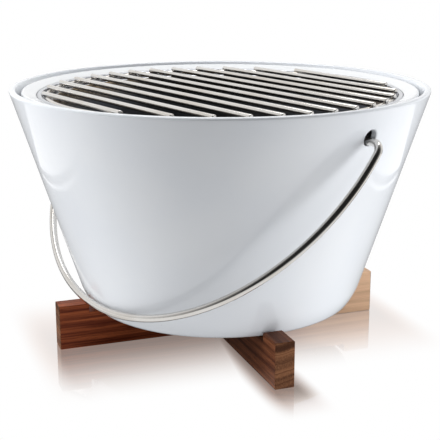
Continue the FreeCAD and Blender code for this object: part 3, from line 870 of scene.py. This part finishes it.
@dataclass
class CoalPan:
    """The spun steel pan: rolled lip, collar, ledge for the cooking grate and tapered wall."""

    sheet: float = 1.0 * MM
    lip_height: float = 2.2 * MM
    collar_radius: float = 144.2 * MM
    collar_depth: float = 2.4 * MM
    ledge: float = 8.7 * MM
    floor_radius: float = 98.02 * MM
    corner_round: float = 8.0 * MM
    longest: float = 3.0 * MM
    scorch_depth: float = 70.0 * MM
    scorch_top: float = 0.33
    scorch_outside: float = 0.12

    def build(self) -> Thing:
        """The pan, turned from its outline, with a scorch attribute that grows towards the coals."""
        low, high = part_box("coal_pan")
        lip, top, foot, sheet = high.x, high.z, low.z, self.sheet
        seat, collar = top - self.lip_height, self.collar_radius
        shelf, shelf_in, floor = seat - self.collar_depth, self.collar_radius - self.ledge, foot + self.sheet
        roll = self.lip_height * 0.45
        corners = np.array([
            (0.0, foot), (self.floor_radius + sheet, foot), (shelf_in + sheet, shelf - sheet),
            (collar + sheet, shelf - sheet), (collar + sheet, seat), (lip, seat), (lip, top), (collar, top),
            (collar, shelf), (shelf_in, shelf), (self.floor_radius, floor), (0.0, floor),
        ])
        radii = np.array([0.0, self.corner_round + sheet, 0.4 * MM, 0.6 * MM, 0.0, 0.3 * MM, roll, roll,
                          0.7 * MM, 1.2 * MM, self.corner_round, 0.0])
        outline = evened(rounded(corners, radii), self.longest)
        inward = np.arange(len(outline)) > int(np.argmax(outline[:, 1]))
        depth = np.clip((shelf - outline[:, 1]) / self.scorch_depth, 0.0, 1.0)
        below = np.clip((shelf + 0.3 * MM - outline[:, 1]) / (1.0 * MM), 0.0, 1.0)
        inner_wall = inward & (outline[:, 0] < shelf_in + 0.1 * MM)
        scorch = np.where(inner_wall, below * (self.scorch_top + depth), self.scorch_outside * depth)
        thing = lathed("pan_shell", outline, 360, marks={"scorch": scorch})
        return dress(thing, PanSteel("pan_steel").material(), Body.PAN, "pan_steel", "coal_pan")


@dataclass
class RodGrate:
    """A wire ring with parallel rods welded on it, and legs where it has them."""

    stem: str
    body: Body
    slot: str
    rods: int
    turn: float
    reach: float
    end_round: float
    legs: int = 0
    gloss: float = 0.13

    def finish(self, grain: Grain) -> bpy.types.Material:
        """The grate's metal: polished for the cooking grate and burnt for the one under the coals."""
        if self.body is Body.FIRE_GRATE:
            return BurntSteel(f"{self.slot}_{grain.name.lower()}").material()
        return WireSteel(f"{self.slot}_{grain.name.lower()}", grain, self.turn, gloss=self.gloss).material()

    def ring(self) -> Thing:
        """The ring, from its node's box."""
        low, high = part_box(f"{self.stem}_ring")
        radius = self.wire_radius
        thing = wire_ring(f"{self.stem}_hoop", high.x - radius, radius, low.z + radius)
        return dress(thing, self.finish(Grain.ROUND), self.body, self.slot, f"{self.stem}_ring")

    def bars(self) -> list[Thing]:
        """The rods: each is centred on its node, with its ends on a circle of radius reach."""
        material = self.finish(Grain.STRAIGHT)
        made = []
        for number in range(1, self.rods + 1):
            node = f"{self.stem}_rod_{number}"
            low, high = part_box(node)
            centre = np.array((low + high) / 2)
            half = math.sqrt(self.reach ** 2 - centre[0] ** 2 - centre[1] ** 2)
            along = np.array([math.cos(self.turn), math.sin(self.turn), 0.0])
            path = centre + along * np.linspace(-half, half, 5)[:, None]
            thing = wire(f"{self.stem}_bar_{number}", path, np.array([0.0, 0.0, 1.0]), self.wire_radius,
                         self.end_round)
            made.append(dress(thing, material, self.body, self.slot, node))
        return made

    def stand(self) -> list[Thing]:
        """The upright legs under the ring."""
        material = self.finish(Grain.STRAIGHT) if self.legs else None
        made = []
        for number in range(1, self.legs + 1):
            node = f"{self.stem}_leg_{number}"
            low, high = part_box(node)
            x, y = (low.x + high.x) / 2, (low.y + high.y) / 2
            path = np.array([(x, y, low.z), (x, y, (low.z + high.z) / 2), (x, y, high.z)])
            thing = wire(f"{self.stem}_post_{number}", path, np.array([1.0, 0.0, 0.0]), self.wire_radius,
                         self.end_round)
            made.append(dress(thing, material, self.body, self.slot, node))
        return made

    def build(self) -> list[Thing]:
        """The whole grate."""
        low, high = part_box(f"{self.stem}_rod_1")
        self.wire_radius = (high.z - low.z) / 2
        return [self.ring(), *self.bars(), *self.stand()]


@dataclass
class Bail:
    """The wire handle, hooked into the pot's two holes and leaning on its wall."""

    wire_radius: float = 3.0 * MM
    bend: float = 9.0 * MM
    leg: float = 3.0 * MM
    end_round: float = 0.8 * MM
    end_reach: float = 150.5 * MM

    def build(self) -> Thing:
        """The wire, along its flat path leaned about the pivot.

        The box's lowest corner gives the bow's lowest point: depth sin(lean) out and depth cos(lean) down.
        """
        low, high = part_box("bail")
        pivot = JOINTS["bail_swing"]["pos_m"][2]
        out, down = -low.y - self.wire_radius, pivot - low.z - self.wire_radius
        lean, bow = math.atan2(out, down), high.x - self.wire_radius
        straight = math.hypot(out, down) - bow
        corner = rounded(np.array([(-self.end_reach, 0.0), (-bow, 0.0), (-bow, straight)]),
                         np.array([0.0, self.bend, 0.0]), 14)
        angle = np.linspace(math.pi, 2.0 * math.pi, 160)[1:-1]
        arc = np.stack([bow * np.cos(angle), straight - bow * np.sin(angle)], axis=1)
        flat = np.concatenate([corner, arc, corner[::-1] * np.array([-1.0, 1.0])])
        out_and_down = (-flat[:, 1] * math.sin(lean), pivot - flat[:, 1] * math.cos(lean))
        path = np.stack([flat[:, 0], *out_and_down], axis=1)
        normal = np.array([0.0, math.cos(lean), -math.sin(lean)])
        thing = wire("bail_wire", path, normal, self.wire_radius, self.end_round, 36)
        centre = (0.0, -straight * math.sin(lean), pivot - straight * math.cos(lean))
        steel = WireSteel("bail_steel", Grain.BOWED, lean, centre)
        return dress(thing, steel.material(), Body.HANDLE, "bail_steel", "bail")


@dataclass
class CrossBar:
    """One wooden bar of the base: raised ends, a lowered seat and half of the half-lap joint."""

    node: str
    turn: float
    notch_up: bool
    pith: tuple[float, float]
    sap_and_lit_from: float
    dark: Colour
    light: Colour
    half_length: float = 141.5 * MM
    width: float = 16.0 * MM
    height: float = 37.0 * MM
    end: float = 25.0 * MM
    seat_drop: float = 7.0 * MM
    lap_gap: float = 0.1 * MM
    arris: float = 0.8 * MM

    def outline(self) -> np.ndarray:
        """The bar's side view: points (n, 2) of length and height, anticlockwise."""
        cheek, seat = self.width / 2 + self.lap_gap, self.height - self.seat_drop
        step = self.half_length - self.end
        under = [(-cheek, 0.0), (-cheek, seat / 2), (cheek, seat / 2), (cheek, 0.0)]
        over = [(cheek, seat), (cheek, seat / 2), (-cheek, seat / 2), (-cheek, seat)]
        return np.array([
            (-self.half_length, 0.0), *([] if self.notch_up else under), (self.half_length, 0.0),
            (self.half_length, self.height), (step, self.height), (step, seat),
            *(over if self.notch_up else []),
            (-step, seat), (-step, self.height), (-self.half_length, self.height),
        ])

    def build(self) -> Thing:
        """The side view carried across the bar's width, turned about Z, with its edges eased."""
        outline = self.outline()
        count = len(outline)
        along, across = np.array([math.cos(self.turn), math.sin(self.turn)]), self.width / 2
        aside = np.array([-along[1], along[0]])
        rows = [np.concatenate([outline[:, :1] * along + aside * edge, outline[:, 1:]], axis=1)
                for edge in (-across, across)]
        faces = quads(2, count).reshape(-1, 4).tolist()
        faces += [list(range(count)), list(range(2 * count - 1, count - 1, -1))]
        thing = solid(self.node.replace("base_bar", "bar"), np.concatenate(rows), faces)
        bevel = thing.modifiers.new("eased_edges", "BEVEL")
        bevel.width, bevel.segments, bevel.limit_method = self.arris, 3, "ANGLE"
        bevel.harden_normals = True
        wood = OiledWood(f"{thing.name}_wood", self.turn, self.half_length, self.pith, self.sap_and_lit_from,
                         self.dark, self.light)
        return dress(thing, wood.material(), Body.BASE, "oiled_wood", self.node)


# ------------------------------------------------------------------ studio


@dataclass(frozen=True)
class SoftBox:
    """A large soft lamp that looks at the grill."""

    name: str
    azimuth: float
    elevation: float
    distance: float
    width: float
    height: float
    power: float
    mirrored: bool = True
    colour: Colour = (1.0, 1.0, 1.0)
    aim: Colour = (0.0, 0.0, 0.11)

    def build(self) -> Thing:
        """The lamp, at its azimuth from -Y towards +X and its elevation above the floor, in degrees."""
        lamp = bpy.data.lights.new(self.name, "AREA")
        lamp.shape, lamp.size, lamp.size_y = "RECTANGLE", self.width, self.height
        lamp.energy, lamp.color = self.power, self.colour
        thing = bpy.data.objects.new(self.name, lamp)
        bpy.context.scene.collection.objects.link(thing)
        around, up = math.radians(self.azimuth), math.radians(self.elevation)
        away = Vector((math.sin(around) * math.cos(up), -math.cos(around) * math.cos(up), math.sin(up)))
        thing.location = Vector(self.aim) + away * self.distance
        thing.rotation_euler = away.to_track_quat("Z", "Y").to_euler()
        thing.visible_camera = False
        thing.visible_glossy = self.mirrored
        return thing


@dataclass
class Studio:
    """Floor, light and camera."""

    azimuth: float = 49.0
    distance: float = 0.868
    height: float = 0.3267
    pitch: float = 14.93
    lens: float = 86.9
    floor_radius: float = 3.0
    floor_gloss: float = 0.05
    floor_mirror: float = 0.76
    # The floor's warm tint is a painted reflection of the wooden bars, where the floor mirrors them.
    painted_reflection_warmth: Colour = (1.0, 0.78, 0.68)
    bar_side: float = 8.0 * MM
    bar_end: float = 141.5 * MM
    front_beside: float = 26.0 * MM
    front_past: float = 55.0 * MM
    side_beside: float = 122.0 * MM
    side_past: float = 30.0 * MM
    glow_near: float = 0.9
    glow_far: float = 0.05
    glow_back: float = 0.25
    near_until: float = 0.22
    far_from: float = 0.55
    back_until: float = -0.05
    near_from: float = 0.12
    glow_panel: float = 1.1
    panel_from: float = 0.37
    panel_blend: float = 5.0 * MM
    panel_back: float = 0.35
    panel_until: float = 0.15
    panel_gone: float = 0.4
    strip_inset: float = 28.0 * MM
    strip_width: float = 10.0 * MM
    glow_under: float = 0.12
    under_until: float = 0.09
    clear_from: float = 0.15
    front_light: float = 0.02
    back_light: float = 0.95
    lift: float = 0.5
    back_edge: float = -0.3
    front_edge: float = 0.85

    def camera(self) -> Thing:
        """The camera, which looks down at the pot's axis."""
        data = bpy.data.cameras.new("camera")
        data.lens, data.sensor_width = self.lens, 36.0
        data.clip_start, data.clip_end = 0.05, 50.0
        thing = bpy.data.objects.new("camera", data)
        bpy.context.scene.collection.objects.link(thing)
        around, down = math.radians(self.azimuth), math.radians(self.pitch)
        thing.location = (self.distance * math.sin(around), -self.distance * math.cos(around), self.height)
        level = math.cos(down)
        back = Vector((math.sin(around) * level, -math.cos(around) * level, math.sin(down)))
        thing.rotation_euler = back.to_track_quat("Z", "Y").to_euler()
        bpy.context.scene.camera = thing
        return thing

    def fade(self, made: Shading, turn: float, beside: float, past: float) -> Socket:
        """How much the floor mirrors a bar that lies along turn: 1 under it, falling evenly to 0 all round.

        Args:
            made: The floor's nodes.
            turn: The bar's turn about Z.
            beside: How far from the bar's middle line the reflection is gone.
            past: How far past the bar's ends it is gone.

        Returns:
            The share, from 0 to 1.
        """
        x, off, _ = made.axes(made.mapped(turn=(0.0, 0.0, -turn)))
        aside = made.span(made.calc("ABSOLUTE", off), self.bar_side, beside, 1.0, 0.0)
        along = made.span(made.calc("ABSOLUTE", x), self.bar_end, self.bar_end + past, 1.0, 0.0)
        return made.calc("MULTIPLY", aside, along)

    def thrown(self, made: Shading) -> Socket:
        """The light that the floor throws on the grill, in strips across the lamps' main direction.

        It is even in front of the grill and falls off further out and behind. A panel and a thin strip at
        either side are bright, and under the grill there is little.

        Args:
            made: The floor's nodes.

        Returns:
            The strength of the glow.
        """
        ahead, aside, _ = made.axes(made.mapped(turn=(0.0, 0.0, math.radians(90.0 - self.azimuth))))
        front = made.span(ahead, self.near_until, self.far_from, self.glow_near, self.glow_far)
        back = made.span(ahead, self.back_until, self.near_from, self.glow_back, self.glow_near)
        front = made.calc("MINIMUM", front, back)
        aside = made.calc("ABSOLUTE", aside)
        panel = made.span(aside, self.panel_from, self.panel_from + self.panel_blend, 0.0, self.glow_panel)
        strip_from = self.panel_from - self.strip_inset
        strip = made.calc("MULTIPLY", made.calc("GREATER_THAN", aside, strip_from),
                          made.calc("LESS_THAN", aside, strip_from + self.strip_width))
        panel = made.calc("MAXIMUM", panel, made.calc("MULTIPLY", strip, self.glow_panel))
        panel = made.calc("MULTIPLY", panel, made.span(ahead, self.panel_until, self.panel_gone, 1.0, 0.0))
        panel = made.calc("MULTIPLY", panel, made.calc("GREATER_THAN", ahead, -self.panel_back))
        x, y, _ = made.axes(made.place)
        clear = made.span(made.distance(x, y), self.under_until, self.clear_from, self.glow_under, 1.0)
        return made.calc("MULTIPLY", made.calc("MAXIMUM", front, panel), clear)

    def floor(self) -> Thing:
        """A white board that mirrors the bars near them. Only rays that bounced meet its glow."""
        outline = np.array([(0.0, -0.05 * MM), (0.3, -0.05 * MM), (self.floor_radius, -0.05 * MM)])
        thing = solid("floor", turned_points(outline, 96), quads(3, 96).reshape(-1, 4).tolist())
        if thing.data.polygons[0].normal.z < 0.0:
            thing.data.flip_normals()
        made = Shading("floor_board")
        front_bar = self.fade(made, BASE_TURN, self.front_beside, self.front_past)
        side_bar = self.fade(made, BASE_TURN + math.pi / 2, self.side_beside, self.side_past)
        share = made.calc("MAXIMUM", front_bar, side_bar)
        seen = made.node("ShaderNodeLightPath").outputs["Is Camera Ray"]
        share = made.calc("MULTIPLY", made.calc("MULTIPLY", seen, share), self.floor_mirror)
        gloss, glow = made.node("ShaderNodeBsdfGlossy"), made.node("ShaderNodeEmission")
        gloss.inputs["Roughness"].default_value = self.floor_gloss
        made.feed(glow.inputs["Strength"], made.calc("MAXIMUM", seen, self.thrown(made)))
        # Painted reflection: where the floor mirrors the bars, its glow turns warm like the wood's
        # reflection.
        made.feed(glow.inputs["Color"], made.mix(share, (1.0, 1.0, 1.0), self.painted_reflection_warmth))
        both = made.node("ShaderNodeMixShader")
        for socket, source in zip(both.inputs, (share, glow.outputs[0], gloss.outputs[0])):
            made.feed(socket, source)
        made.feed(made.tree.nodes["Material Output"].inputs["Surface"], both.outputs[0])
        thing.data.materials.append(made.material)
        return thing

    def world(self) -> bpy.types.World:
        """White to the camera. Other rays meet a room that is bright behind the grill and dim in front."""
        world = bpy.data.worlds.new("room")
        world.use_nodes = True
        tree = world.node_tree
        tree.nodes.clear()
        ray = tree.nodes.new("ShaderNodeTexCoord").outputs["Generated"]
        around = math.radians(self.azimuth)
        towards = tree.nodes.new("ShaderNodeVectorMath")
        towards.operation = "DOT_PRODUCT"
        towards.inputs[1].default_value = (math.sin(around), -math.cos(around), self.lift)
        tree.links.new(ray, towards.inputs[0])
        level = tree.nodes.new("ShaderNodeMapRange")
        level.interpolation_type = "SMOOTHSTEP"
        limits = (self.back_edge, self.front_edge, self.back_light, self.front_light)
        for socket, number in zip(level.inputs[1:5], limits):
            socket.default_value = number
        tree.links.new(towards.outputs["Value"], level.inputs[0])
        dim, white = (tree.nodes.new("ShaderNodeBackground") for _ in range(2))
        tree.links.new(level.outputs[0], dim.inputs["Strength"])
        white.inputs["Strength"].default_value = 1.0
        for shade in (dim, white):
            shade.inputs["Color"].default_value = (1.0, 1.0, 1.0, 1.0)
        seen = tree.nodes.new("ShaderNodeLightPath").outputs["Is Camera Ray"]
        choose = tree.nodes.new("ShaderNodeMixShader")
        for socket, source in zip(choose.inputs, (seen, dim.outputs[0], white.outputs[0])):
            tree.links.new(source, socket)
        tree.links.new(choose.outputs[0], tree.nodes.new("ShaderNodeOutputWorld").inputs["Surface"])
        bpy.context.scene.world = world
        return world

    def build(self) -> None:
        """The camera first, then the floor, the room and the lamps."""
        self.camera()
        self.floor()
        self.world()
        for lamp in (
            SoftBox("lamp_right", self.azimuth + 95.0, 22.0, 1.0, 0.35, 0.8, 0.7, mirrored=False),
            SoftBox("lamp_left", self.azimuth - 82.0, 22.0, 1.1, 0.4, 0.6, 8.0, mirrored=False),
            SoftBox("lamp_low", self.azimuth + 66.0, 6.0, 0.5, 0.3, 0.15, 0.95, mirrored=False,
                    aim=(0.0, 0.0, 0.03)),
            SoftBox("lamp_front", self.azimuth, 8.0, 0.9, 0.9, 0.3, 1.25, mirrored=False),
            SoftBox("lamp_top", self.azimuth + 180.0, 72.0, 1.3, 1.0, 0.8, 10.0),
        ):
            lamp.build()
        bpy.context.scene.view_settings.view_transform = "Standard"
        log.info("studio ready")


def main() -> None:
    """Builds the studio, then each sub-assembly from the table up."""
    logging.basicConfig(level=logging.INFO, format="%(name)s: %(message)s", stream=sys.stdout)
    Studio().build()
    CrossBar("base_bar_lower", turn=BASE_TURN + math.pi / 2, notch_up=True, pith=(3.0 * MM, -70.0 * MM),
             sap_and_lit_from=60.0 * MM, dark=(0.090, 0.013, 0.005), light=(0.42, 0.108, 0.038)).build()
    CrossBar("base_bar_upper", turn=BASE_TURN, notch_up=False, pith=(-4.0 * MM, 110.0 * MM),
             sap_and_lit_from=200.0 * MM, dark=(0.045, 0.011, 0.005), light=(0.23, 0.082, 0.036)).build()
    OuterPot().build()
    BowlPads().build()
    InnerBowl().build()
    CoalPan().build()
    RodGrate("fire", Body.FIRE_GRATE, "fire_steel", rods=9, turn=math.radians(40.0), reach=87.5 * MM,
             end_round=0.4 * MM, legs=4).build()
    RodGrate("cooking", Body.COOKING_GRATE, "grate_steel", rods=13, turn=math.radians(-5.25),
             reach=142.8 * MM, end_round=0.7 * MM).build()
    Bail().build()
    log.info("sizes written")


if __name__ == "__main__":
    main()
